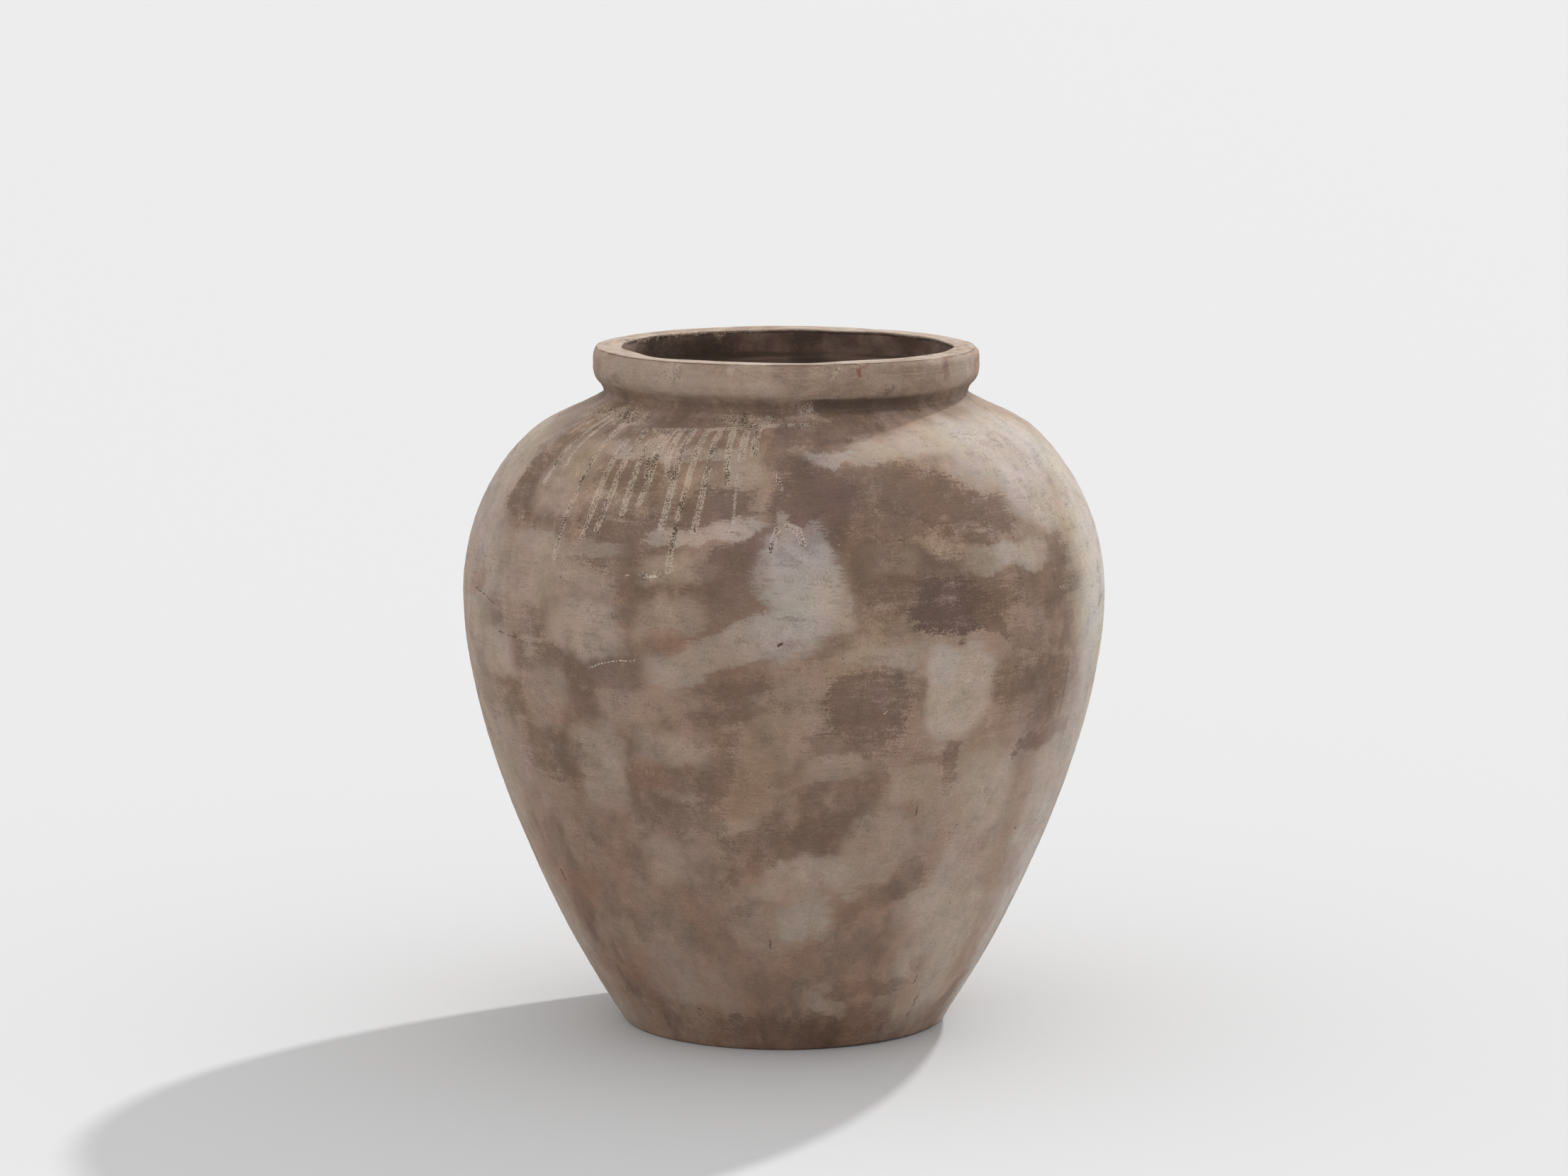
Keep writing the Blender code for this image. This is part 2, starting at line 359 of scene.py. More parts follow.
# Hand-made lumps, low bumps and level finger bands lie over the wall: height, size, tallness and seed
LUMPS = [(0.0011, 0.16, 1.0, 0.0), (0.0005, 0.06, 1.0, 9.0), (0.00035, 0.05, 0.12, 4.0)]
SKIN_INSET = 0.0011
FOOT_FADE = 0.02
above_foot = np.clip(climb / FOOT_FADE, 0, 1) * np.clip((FULL_CLIMB - climb) / FOOT_FADE, 0, 1)
hand_lumps = sum(high * lumps(size, tall, seed) for high, size, tall, seed in LUMPS)
relief = (hand_lumps - SKIN_INSET) * above_foot
# Each mark's field is 1 along its middle and reaches this many half widths out
RUN_REACH = 1.7
SCAR_REACH = 1.5
FLECK_REACH = 1.5
run_field = np.zeros(len(turn))
for width, strength, line in RUNS:
    off = way_off(turn, climb, radius, line) / half(width)
    run_field = np.maximum(run_field, strength * np.clip(1 - off / RUN_REACH, 0, 1))
    relief += RUN_THICKNESS * strength * np.clip(1 - off**2, 0, 1) ** 0.5
scar_field = np.zeros(len(turn))
for width, depth, line in SCARS:
    off = way_off(turn, climb, radius, line) / half(width)
    scar_field = np.maximum(scar_field, np.clip(1 - off / SCAR_REACH, 0, 1))
    relief -= depth / 1000 * np.clip(1 - off**2, 0, 1)
fleck_field = np.zeros(len(turn))
for width, strength, line in FLECKS:
    off = way_off(turn, climb, radius, line) / half(width)
    fleck_field = np.maximum(fleck_field, strength * np.clip(1 - off / FLECK_REACH, 0, 1))

# The rim was smoothed by hand: its lip wanders, its top dips, and its arris is worn most at the right
LIP_WANDER = 0.0042
LIP_DIP = LIP_WANDER * 0.6
RIM_DIP = 0.0012
ARRIS_WEAR = 0.0035
ARRIS_DENTS = 0.0008
TOOL_LINE = 0.0005
right_side = near(turn, math.radians(88), math.radians(75))
on_lip = near(climb, LIP_CLIMB, 0.016)
on_arris = near(climb, ARRIS_CLIMB, 0.010)
on_rim_top = near(climb, (LIP_CLIMB + ARRIS_CLIMB) / 2, 0.030)
tool_ring = near(climb, ARRIS_CLIMB - 0.022 + 0.001 * unevenness(2.0, 2, 3), 0.003)
relief -= TOOL_LINE * tool_ring * (0.6 + 0.4 * unevenness(1.0, 3, 5))
relief -= RIM_DIP * on_rim_top * (0.5 + 0.5 * unevenness(0.7, 2, 5, 9))
wear = ARRIS_WEAR * on_arris * (0.15 + 0.85 * right_side) * (0.8 + 0.2 * unevenness(0.4, 7, 11))
relief -= wear + ARRIS_DENTS * on_arris * (0.5 + 0.5 * unevenness(1.7, 4, 9, 13))
lip_shift = LIP_WANDER * unevenness(0.9, 2, 3, 7, 11) * on_lip
lip_drop = LIP_DIP * (0.5 + 0.5 * unevenness(2.3, 3, 7, 12)) * on_lip
# A ridge between two finger grooves runs along the rim's top at the near right, with a crease below it
RIDGE_TURN = math.radians(62)
GROOVE_DEPTH = 0.0012
GROOVE_OFF = 0.0045
ridge_span = near(turn, RIDGE_TURN, math.radians(26))
ridge_climb = ARRIS_CLIMB + 0.008 - 0.004 * (turn - RIDGE_TURN)
relief -= GROOVE_DEPTH * ridge_span * near(climb, ridge_climb - GROOVE_OFF, GROOVE_OFF)
relief -= GROOVE_DEPTH * ridge_span * near(climb, ridge_climb + GROOVE_OFF, GROOVE_OFF)
crease = near(turn, math.radians(69), math.radians(1.6)) * near(climb, ARRIS_CLIMB - 0.018, 0.016)
relief -= GROOVE_DEPTH * crease
# The foot's edge was cut by hand and doesn't quite meet the ground all round
FOOT_LIFT = 0.0022
foot_wave = 0.5 + 0.5 * unevenness(1.1, 2, 3, 7)
at_foot = near(climb, 0.004, 0.014) + near(climb, FULL_CLIMB, 0.010)
foot_lift = FOOT_LIFT * foot_wave * np.clip(at_foot, 0, 1) * (0.4 + 0.6 * near(turn, 0.7, 0.9))

# The neck and the rim lean a little to the right of the belly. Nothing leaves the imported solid's box
RIM_LEAN = 0.0030
LEAN_FROM = 0.76
LEAN_OVER = 0.12
BOX_MARGIN = 0.0001
leaned = np.clip((height - LEAN_FROM) / LEAN_OVER, 0, 1)
lean = RIM_LEAN * leaned**2 * (3 - 2 * leaned)
new_radius = radius + relief * out_radius + lip_shift
new_height = height + relief * out_height - lip_drop + foot_lift
new_radius = np.minimum(new_radius, BELLY_RADIUS - BOX_MARGIN)
new_height = np.clip(new_height, 0, HEIGHT)
for vert, r, z, t, shift in zip(flat.verts, new_radius, new_height, turn, lean):
    vert.co = (r * math.sin(t) + shift, -r * math.cos(t), z)

# One map, in metres round and up, places the brushwork. The other packs the whole jar into a square,
# with most of its height for the outside
OUTSIDE_SHARE = 0.86
MAP_EDGE = 0.004
SPLIT_CLIMB = LIP_CLIMB + 0.012
brushed = flat.loops.layers.uv.new("brushed")
packed = flat.loops.layers.uv.new("OFBake")
flat.verts.index_update()
for face in flat.faces:
    spots = [(turn[loop.vert.index], climb[loop.vert.index]) for loop in face.loops]
    is_outside = sum(spot[1] for spot in spots) / len(spots) < SPLIT_CLIMB
    for loop, (t, c) in zip(face.loops, spots):
        loop[brushed].uv = (t * BELLY_RADIUS, c)
        across = MAP_EDGE + (1 - 2 * MAP_EDGE) * (t / math.tau + 0.5)
        if is_outside:
            up = MAP_EDGE + (OUTSIDE_SHARE - 2 * MAP_EDGE) * c / SPLIT_CLIMB
        else:
            rest = (c - SPLIT_CLIMB) / (FULL_CLIMB - SPLIT_CLIMB)
            up = OUTSIDE_SHARE + MAP_EDGE + (1 - OUTSIDE_SHARE - 2 * MAP_EDGE) * rest
        loop[packed].uv = (across, up)
for name, field in (("runs", run_field), ("scars", scar_field), ("flecks", fleck_field)):
    layer = flat.verts.layers.float.new(name)
    for vert, value in zip(flat.verts, field):
        vert[layer] = value
SAME_PLACE = 0.000001
bmesh.ops.remove_doubles(flat, verts=list(flat.verts), dist=SAME_PLACE)
bmesh.ops.recalc_face_normals(flat, faces=list(flat.faces))
clay_mesh = bpy.data.meshes.new("clay_jar")
flat.to_mesh(clay_mesh)
flat.free()
clay_mesh.shade_smooth()
clay_jar = bpy.data.objects.new("clay_jar", clay_mesh)
bpy.context.collection.objects.link(clay_jar)


class Coat:
    """One output of a shader node. Sums on it add Math nodes to its tree, and node adds any other.

    A node's sockets are given by name or number. Where two share a name, only the number tells them apart.
    """

    def __init__(self, tree, output=None):
        self.tree = tree
        self.output = output

    def node(self, kind, settings, inputs, output=0):
        made = self.tree.nodes.new("ShaderNode" + kind)
        for name, value in settings.items():
            setattr(made, name, value)
        for place, value in inputs.items():
            if isinstance(value, Coat):
                self.tree.links.new(value.output, made.inputs[place])
            else:
                made.inputs[place].default_value = value
        return Coat(self.tree, made.outputs[output])

    def sum(self, operation, *values):
        return self.node("Math", {"operation": operation}, dict(enumerate(values)))

    def __add__(self, other):
        return self.sum("ADD", self, other)

    def __sub__(self, other):
        return self.sum("SUBTRACT", self, other)

    def __rsub__(self, other):
        return self.sum("SUBTRACT", other, self)

    def __mul__(self, other):
        return self.sum("MULTIPLY", self, other)

    __radd__ = __add__
    __rmul__ = __mul__


def grain(vector, scale, detail=2.0, roughness=0.5, output=0):
    inputs = {"Vector": vector, "Scale": scale, "Detail": detail, "Roughness": roughness}
    return vector.node("TexNoise", {}, inputs, output)


def fade(value, start, end, top=1.0):
    """0 at the start, rising smoothly to the top at the end."""
    settings = {"interpolation_type": "SMOOTHSTEP", "clamp": False}
    inputs = {"Value": value, "From Min": start, "From Max": end, "To Max": top}
    return value.node("MapRange", settings, inputs)


def laid(under, over, cover):
    """A colour with another laid over it, covering this much."""
    return cover.node("Mix", {"data_type": "RGBA"}, {0: cover, 6: under, 7: over}, 2)


def stretched(vector, *by):
    return vector.node("VectorMath", {"operation": "MULTIPLY"}, {0: vector, 1: by})


def linear(red, green, blue):
    """A colour read off on the usual scale of 255, as the shader takes it."""
    parts = []
    for part in (red, green, blue):
        share = part / 255
        parts.append(share / 12.92 if share <= 0.04045 else ((share + 0.055) / 1.055) ** 2.4)
    return (*parts, 1.0)


WASHES = {
    "bone": linear(168, 152, 138),
    "clay": linear(154, 135, 120),
    "umber": linear(109, 88, 75),
    "plum": linear(97, 77, 68),
    "chalk": linear(186, 178, 169),
    "grey": linear(164, 155, 146),
    "rust": linear(142, 108, 91),
    "stain": linear(112, 62, 54),
    "foot_darkening": linear(96, 72, 58),
}
BARE_CLAY = linear(142, 120, 104)
BARE_CLAY_DARK = linear(119, 97, 83)
# Brushwork on the front, in order of painting: the wash, degrees round from the front, millimetres up
# the outside, half its length and half its height in millimetres, tilt in degrees, strength and softness
BRUSHWORK = [
    ("bone", -84, 560, 150, 420, 0, 0.55, 0.6),
    ("bone", 82, 560, 155, 460, 0, 0.60, 0.6),
    ("bone", 50, 240, 160, 210, 0, 0.60, 0.5),
    ("clay", -64, 380, 75, 130, 0, 0.35, 0.6),
    # The next two dabs make the jar darker towards the foot
    ("foot_darkening", 6, 16, 215, 40, 0, 0.60, 1.1),
    ("foot_darkening", 20, 52, 120, 30, 10, 0.25, 0.8),
    ("bone", 48, 128, 105, 62, 10, 0.66, 0.4),
    ("bone", 56, 200, 90, 60, -20, 0.38, 0.4),
    ("bone", 34, 240, 60, 34, 20, 0.44, 0.35),
    ("umber", 20, 262, 46, 13, 10, 0.56, 0.4),
    ("umber", 14, 225, 15, 42, 0, 0.50, 0.4),
    ("rust", 32, 318, 20, 42, -20, 0.40, 0.4),
    ("umber", 27, 290, 30, 26, 30, 0.44, 0.4),
    ("umber", 7, 150, 42, 34, 40, 0.62, 0.4),
    ("umber", 24, 108, 85, 14, 0, 0.56, 0.4),
    ("umber", 22, 60, 45, 12, 20, 0.44, 0.4),
    ("clay", 12, 82, 46, 13, -20, 0.69, 0.35),
    ("umber", -8, 44, 60, 20, 0, 0.69, 0.4),
    ("umber", -6, 118, 50, 22, 10, 0.44, 0.4),
    ("clay", -22, 112, 75, 32, 0, 0.50, 0.4),
    ("umber", -24, 188, 28, 13, 10, 0.50, 0.4),
    ("umber", -12, 238, 60, 12, 20, 0.50, 0.4),
    ("umber", -36, 205, 20, 30, -20, 0.38, 0.4),
    ("grey", 4.5, 228, 46, 33, 10, 0.70, 0.35),
    ("clay", -12, 210, 240, 110, 0, 0.30, 0.6),
    ("bone", 6, 292, 85, 34, 0, 0.60, 0.35),
    ("clay", 19, 345, 52, 50, -40, 0.69, 0.35),
    ("umber", 0, 350, 80, 24, 10, 0.48, 0.4),
    ("umber", -8, 305, 42, 13, 30, 0.50, 0.4),
    ("umber", 6, 372, 60, 18, 0, 0.25, 0.4),
    ("clay", -26, 315, 34, 32, 0, 0.62, 0.35),
    ("umber", -38, 345, 60, 60, 0, 0.31, 0.7),
    ("rust", -39, 300, 30, 28, 0, 0.35, 0.4),
    ("rust", -54, 255, 70, 18, 0, 0.30, 0.4),
    ("rust", -63, 200, 60, 22, 20, 0.25, 0.4),
    ("rust", -41, 160, 36, 14, 0, 0.25, 0.4),
    ("bone", 42, 415, 48, 44, 0, 0.50, 0.4),
    ("bone", 60, 400, 60, 60, 0, 0.44, 0.4),
    ("clay", 24, 430, 34, 26, 0, 0.69, 0.4),
    ("umber", 14.5, 422, 36, 36, 0, 0.42, 0.35),
    ("umber", 32.5, 450, 13, 36, 0, 0.56, 0.35),
    ("umber", 28, 462, 38, 9, 0, 0.44, 0.35),
    ("clay", 9, 457, 46, 18, 0, 0.60, 0.35),
    ("umber", 57, 468, 76, 12, 10, 0.62, 0.35),
    ("clay", -10, 373, 36, 10, 10, 0.62, 0.35),
    ("umber", -18, 385, 50, 22, 0, 0.44, 0.4),
    ("umber", -13, 440, 22, 44, -20, 0.62, 0.35),
    ("bone", -36, 440, 46, 60, 0, 0.44, 0.35),
    ("bone", -20, 480, 52, 26, 0, 0.35, 0.5),
    ("rust", -24.5, 438, 24, 22, 0, 0.35, 0.4),
    ("umber", -48, 455, 56, 36, -10, 0.55, 0.5),
    ("clay", 3, 520, 56, 62, 0, 0.35, 0.5),
    ("umber", 15, 540, 52, 46, 0, 0.82, 0.25),
    ("umber", 12, 490, 60, 16, 0, 0.50, 0.5),
    ("bone", 32, 552, 51, 62, 0, 0.75, 0.25),
    ("grey", 28, 588, 22, 26, 0, 0.38, 0.5),
    ("umber", 44, 552, 34, 22, 0, 0.55, 0.5),
    ("umber", 50, 545, 60, 34, 0, 0.35, 0.5),
    ("umber", 47, 608, 34, 18, -20, 0.40, 0.5),
    ("bone", 17, 606, 58, 15, 0, 0.45, 0.4),
    ("umber", 7, 620, 26, 16, 20, 0.40, 0.5),
    ("umber", -58, 528, 32, 32, 0, 0.50, 0.5),
    ("umber", -68, 540, 50, 44, 0, 0.30, 0.6),
    ("umber", -49, 586, 62, 20, 0, 0.60, 0.4),
    ("umber", -33, 572, 66, 28, 0, 0.60, 0.5),
    ("clay", -47, 532, 36, 40, 0, 0.60, 0.5),
    ("rust", -45, 512, 32, 14, 0, 0.35, 0.6),
    ("bone", -61, 582, 46, 30, 0, 0.55, 0.4),
    ("clay", -27, 535, 46, 22, 10, 0.35, 0.5),
    ("umber", -13, 508, 34, 20, 0, 0.45, 0.6),
    ("umber", -6, 535, 46, 12, 10, 0.45, 0.5),
    ("umber", -8, 562, 38, 11, 20, 0.70, 0.4),
    ("bone", -58, 700, 95, 46, 0, 0.45, 0.5),
    ("clay", -40, 702, 85, 26, 0, 0.55, 0.5),
    ("rust", -70, 670, 48, 13, 20, 0.45, 0.5),
    ("umber", -49, 630, 28, 24, 0, 0.35, 0.6),
    ("bone", -36, 634, 56, 36, 0, 0.50, 0.4),
    ("umber", -26, 672, 28, 32, 0, 0.60, 0.5),
    ("umber", -12, 690, 52, 22, 20, 0.60, 0.5),
    ("clay", -20, 652, 48, 22, 10, 0.55, 0.4),
    ("rust", -19, 624, 30, 13, -20, 0.45, 0.5),
    ("bone", -14, 602, 76, 26, 20, 0.50, 0.4),
    ("umber", -31, 752, 66, 34, 10, 0.75, 0.35),
    ("umber", -28, 712, 30, 26, -20, 0.55, 0.5),
    ("clay", -19, 716, 52, 18, 10, 0.55, 0.4),
    ("umber", -6, 748, 48, 15, 20, 0.70, 0.35),
    ("umber", -10, 718, 40, 22, 20, 0.55, 0.5),
    ("umber", 26, 700, 130, 40, -10, 0.78, 0.5),
    ("umber", 12, 735, 36, 40, -30, 0.65, 0.5),
    ("umber", 53, 690, 66, 40, 0, 0.60, 0.5),
    ("bone", 19, 724, 38, 18, 0, 0.22, 0.5),
    ("bone", 46, 717, 80, 17, 0, 0.55, 0.35),
    ("grey", 46, 718, 46, 15, 0, 0.40, 0.5),
    ("plum", 6, 805, 58, 66, -40, 0.75, 0.4),
    ("umber", 30, 806, 92, 42, -20, 0.75, 0.35),
    ("umber", 44, 760, 60, 20, -10, 0.40, 0.5),
    ("plum", -13, 796, 52, 30, 10, 0.60, 0.5),
    ("umber", -33, 842, 62, 26, 0, 0.60, 0.4),
    ("umber", -59.5, 812, 50, 46, -10, 0.80, 0.35),
    ("clay", -50, 840, 50, 60, 0, 0.60, 0.4),
    ("bone", -27, 880, 150, 13, 0, 0.50, 0.5),
    ("bone", -8, 852, 30, 20, 0, 0.40, 0.5),
    ("plum", -28, 948, 110, 16, 0, 0.45, 0.5),
    ("umber", -8, 920, 150, 22, 0, 0.30, 0.6),
    ("bone", 60, 850, 170, 110, 0, 0.45, 0.5),
    ("bone", 28, 895, 100, 26, 10, 0.65, 0.4),
    ("bone", 42, 915, 100, 36, 10, 0.45, 0.5),
    ("grey", 11, 877, 50, 11, 0, 0.55, 0.4),
    ("bone", -88, 830, 130, 90, 10, 0.45, 0.6),
    # Painted shade: this dab darkens the neck just under the rim
    ("umber", 12, 984, 110, 11, 0, 0.75, 0.4),
    ("grey", 2, 716, 52, 40, -10, 0.55, 0.2),
    ("grey", 4, 752, 32, 26, 0, 0.45, 0.25),
    ("bone", 0.5, 776, 10, 22, 0, 0.50, 0.3),
    ("bone", 5, 672, 50, 34, 10, 0.60, 0.25),
    ("bone", -2, 640, 56, 24, 20, 0.45, 0.35),
    ("clay", 9, 690, 22, 46, 0, 0.20, 0.6),
    ("umber", 16, 700, 34, 44, 0, 0.50, 0.5),
    ("umber", 1, 733, 17, 8, -20, 0.40, 0.6),
    ("grey", 3, 690, 46, 46, -10, 0.45, 0.3),
    ("grey", 1, 640, 44, 36, 20, 0.55, 0.4),
    ("bone", -14, 764, 84, 13, 10, 0.70, 0.3),
    ("grey", -90, 790, 110, 120, -20, 0.40, 0.5),
    ("rust", -45.5, 878, 11, 9, 0, 0.35, 0.6),
    ("umber", -27, 953, 120, 9, 0, 0.45, 0.5),
    ("umber", -26, 972, 190, 16, 0, 0.40, 0.6),
    ("plum", -1.5, 905, 22, 44, -10, 0.50, 0.5),
    ("bone", -42, 735, 85, 11, 0, 0.40, 0.5),
    # Partly a brown wash and partly painted shade, kept inside the rim's shadow on the shoulder
    ("umber", 12, 936, 95, 27, 10, 0.60, 0.4),
    # Painted shade: this dab darkens the neck just under the rim
    ("umber", 30, 984, 130, 11, 0, 0.90, 0.3),
    ("umber", 20, 960, 90, 14, 10, 0.50, 0.5),
    ("plum", 3, 862, 30, 14, -20, 0.50, 0.5),
    ("umber", 31, 812, 62, 38, -20, 0.85, 0.35),
    ("umber", 20, 772, 66, 20, 0, 0.60, 0.4),
    ("umber", 42, 782, 52, 28, -20, 0.80, 0.5),
    ("umber", 20, 853, 74, 8, 0, 0.55, 0.4),
    ("chalk", 60, 880, 150, 62, 0, 0.42, 0.5),
    ("chalk", 56, 800, 60, 44, -30, 0.35, 0.5),
    ("chalk", 80, 700, 100, 150, -10, 0.60, 0.6),
    ("umber", 58, 712, 22, 22, 0, 0.50, 0.4),
    ("umber", 36, 752, 40, 9, -10, 0.50, 0.4),
    ("plum", 29.5, 663, 55, 34, -10, 0.92, 0.25),
    ("umber", 38.5, 636, 32, 9, -40, 0.70, 0.3),
    ("umber", 60.5, 532, 4, 42, 0, 0.60, 0.5),
    # Painted light: this pale dab brightens the lower left, as light bounced from the floor would
    ("bone", -82, 130, 150, 150, 10, 0.85, 0.6),
    ("bone", -84, 330, 110, 120, -10, 0.60, 0.6),
    ("bone", 42, 185, 92, 60, 10, 0.35, 0.35),
    ("chalk", 78, 240, 120, 250, 10, 0.75, 0.6),
    ("chalk", 80, 560, 90, 160, 0, 0.50, 0.6),
    ("chalk", 63, 290, 50, 110, 0, 0.40, 0.6),
    ("umber", 60, 60, 60, 20, 30, 0.30, 0.35),
    ("rust", -55, 120, 90, 16, 0, 0.35, 0.4),
    ("umber", -50, 78, 60, 8, 0, 0.44, 0.35),
    ("clay", -28, 95, 60, 14, 0, 0.44, 0.35),
]
# Crusty places, where the wash dried full of open pits. Their measures are those of the brushwork
CRUSTS = [
    (-57, 951, 120, 17, 0, 0.85, 0.6),
    (-11, 962, 70, 12, 0, 0.70, 0.6),
    (7, 979, 26, 10, -10, 0.80, 0.6),
    (-16.8, 1039, 8, 7, 0, 0.60, 0.8),
    (14, 1032, 11, 5, 0, 0.60, 0.8),
    (-37, 1036, 36, 8, 0, 0.40, 0.9),
    (-24.4, 705, 14, 4, 0, 0.60, 0.8),
]
# Damp stains and a crusty edge at the far side of the hollow, just past its lip
LIP_UP = 1000 * LIP_CLIMB
DAMP_PLACES = [
    (-140, LIP_UP + 42, 170, 40, 0, 0.60, 0.8),
    (172, LIP_UP + 35, 45, 50, 0, 0.45, 0.8),
]
CRUSTY_LIP = (-132, LIP_UP + 1, 230, 3.5, 0, 1.0, 0.5)
# Smudges on the rolled rim
RIM_WORK = [
    ("bone", -10, 1012, 60, 7, 0, 0.30, 0.6),
    ("bone", -48, 1024, 170, 22, 0, 0.40, 0.6),
    ("umber", 24, 1022, 130, 22, 0, 0.18, 0.8),
    ("umber", -62, 1010, 50, 6, 0, 0.35, 0.6),
    ("umber", 31.8, 1007, 14, 5, 0, 0.50, 0.6),
    ("umber", 53.8, 1028, 9, 12, 0, 0.40, 0.7),
    ("bone", 66, 1028, 60, 22, 0, 0.50, 0.6),
    ("umber", 11, 1045, 60, 3, 0, 0.35, 0.6),
    ("stain", 20.8, 1038, 5, 7, 20, 0.65, 0.7),
]
# The back wasn't photographed. It gets one broad wash and then the same washes in places drawn by lot,
# fainter and with rust among them low down
BACK_DABS = 50
RUST_BELOW = 400
FAINTER_BELOW = 450
lots = random.Random(12)
back_work = [("bone", 180, 600, 640, 520, 0, 0.45, 0.6)]
for _ in range(BACK_DABS):
    round_at = lots.uniform(96, 264)
    up = lots.uniform(40, 940)
    low_wash = "rust" if up < RUST_BELOW else "bone"
    wash = lots.choice(["bone", "clay", "umber", "umber", "plum", low_wash, "grey"])
    long = lots.uniform(40, 105)
    tall = long * lots.uniform(0.3, 0.8)
    tilt = lots.choice([-20, -10, 0, 0, 10, 20])
    strength = lots.uniform(0.35, 0.7) * (0.8 if up < FAINTER_BELOW else 1.0)
    back_work.append((wash, round_at, up, long, tall, tilt, strength, lots.uniform(0.35, 0.6)))

clay = bpy.data.materials.new("washed_clay")
clay.use_nodes = True
tree = clay.node_tree
shader = tree.nodes["Principled BSDF"]
start = Coat(tree)
spot = start.node("UVMap", {"uv_map": "brushed"}, {})
metres_round = spot.node("SeparateXYZ", {}, {0: spot}, "X")
metres_up = spot.node("SeparateXYZ", {}, {0: spot}, "Y")
turn_round = metres_round * (1 / BELLY_RADIUS)
circle = {
    0: turn_round.sum("SINE", turn_round) * BELLY_RADIUS,
    1: turn_round.sum("COSINE", turn_round) * BELLY_RADIUS,
    2: metres_up,
}
round_jar = spot.node("CombineXYZ", {}, circle)
place = start.node("TexCoord", {}, {}, "Object")
deep = fade(metres_up, LIP_CLIMB + 0.03, LIP_CLIMB + 0.06)


def settled(outside):
    """Deep in the hollow, patterns follow the place itself, or they would run together on the floor."""
    return spot.node("Mix", {"data_type": "VECTOR"}, {0: deep, 4: outside, 5: place}, 1)


on_clay = settled(round_jar)

# The brush wanders, and its bristles drag streaks that lie nearly level and leave ragged edges
WANDER = 0.055
SWAY = 0.012
swaying_up = metres_up
for waves_round, late_by in ((2, 0.6), (5, 2.1), (9, 4.0)):
    phase = turn_round * waves_round + late_by
    swaying_up = swaying_up + phase.sum("SINE", phase) * (SWAY / waves_round)
swayed = settled(spot.node("CombineXYZ", {}, {0: circle[0], 1: circle[1], 2: swaying_up}))
streaks = grain(stretched(swayed, 1, 1, 7), 13, 6.0, 0.72)
bristles = grain(stretched(swayed, 1, 1, 9), 60, 4.0, 0.75)
blots = grain(on_clay, 28, 7.0, 0.72)
grit = grain(on_clay, 380, 4.0, 0.75)
ragged = (streaks - 0.5) * 1.7 + (bristles - 0.5) * 1.6 + (blots - 0.5) * 1.2 + (grit - 0.5) * 1.8
DRAG = 0.015
wander_round = (grain(on_clay, 12, 6.0, 0.62) - 0.5) * WANDER + (streaks - 0.5) * DRAG
wander_up = (grain(on_clay, 21, 6.0, 0.62) - 0.5) * WANDER + (bristles - 0.5) * DRAG
wander = spot.node("CombineXYZ", {}, {0: wander_round, 1: wander_up})
wandered = spot.node("VectorMath", {"operation": "ADD"}, {0: spot, 1: wander})
leaning = {}


def lean_to(tilt):
    """The wandered coordinate turned to this tilt, kept for the other dabs that lean the same way."""
    if tilt not in leaning:
        turned_by = {"Vector": wandered, "Center": (0, 0, 0), "Angle": -math.radians(tilt)}
        leaning[tilt] = wandered.node("VectorRotate", {"rotation_type": "Z_AXIS"}, turned_by)
    return leaning[tilt]


# Small dabs have the most ragged edges. An edge spills out further than it fades inwards
RAGGED_SIZE = 42
MOST_RAGGED = 1.5
SPILL = 1.1
PAINT_LOAD = 1.1


def touched(round_at, up, long, tall, tilt, strength, softness):
    """How much a squarish dab of the brush covers each place."""
    angle = math.radians(tilt)
    across, along = math.radians(round_at) * BELLY_RADIUS, up / 1000
    middle_across = across * math.cos(angle) + along * math.sin(angle)
    middle_along = along * math.cos(angle) - across * math.sin(angle)
    by = (1000 / long, 1000 / tall, 0)
    less = (-middle_across * by[0], -middle_along * by[1], 0)
    lying = lean_to(tilt)
    inner = lying.node("VectorMath", {"operation": "MULTIPLY_ADD"}, {0: lying, 1: by, 2: less})
    squared = inner.node("VectorMath", {"operation": "MULTIPLY"}, {0: inner, 1: inner})
    off = squared.node("VectorMath", {"operation": "LENGTH"}, {0: squared}, "Value")
    torn = ragged.sum("MULTIPLY_ADD", ragged, min(MOST_RAGGED, RAGGED_SIZE / tall), off)
    return fade(torn, 1 + SPILL * softness, 1 - softness, strength * PAINT_LOAD)


def touched_all(places):
    """The cover of several dabs together."""
    cover = touched(*places[0])
    for place in places[1:]:
        cover = cover + touched(*place)
    return cover


def dab(under, wash, *where):
    return laid(under, WASHES[wash], touched(*where))


patches = grain(on_clay, 7, 4.0, 0.6)
colour = laid(BARE_CLAY_DARK, BARE_CLAY, fade(patches, 0.38, 0.58))
for work in BRUSHWORK:
    colour = dab(colour, *work)
# A dab that reaches past the middle of the back is painted from both sides, because the map ends there
for wash, round_at, up, long, *rest in back_work:
    reach = math.degrees(long / 1000 / BELLY_RADIUS)
    for seen_at in (round_at, round_at - 360):
        if abs(seen_at) - reach < 180:
            colour = dab(colour, wash, seen_at, up, long, *rest)

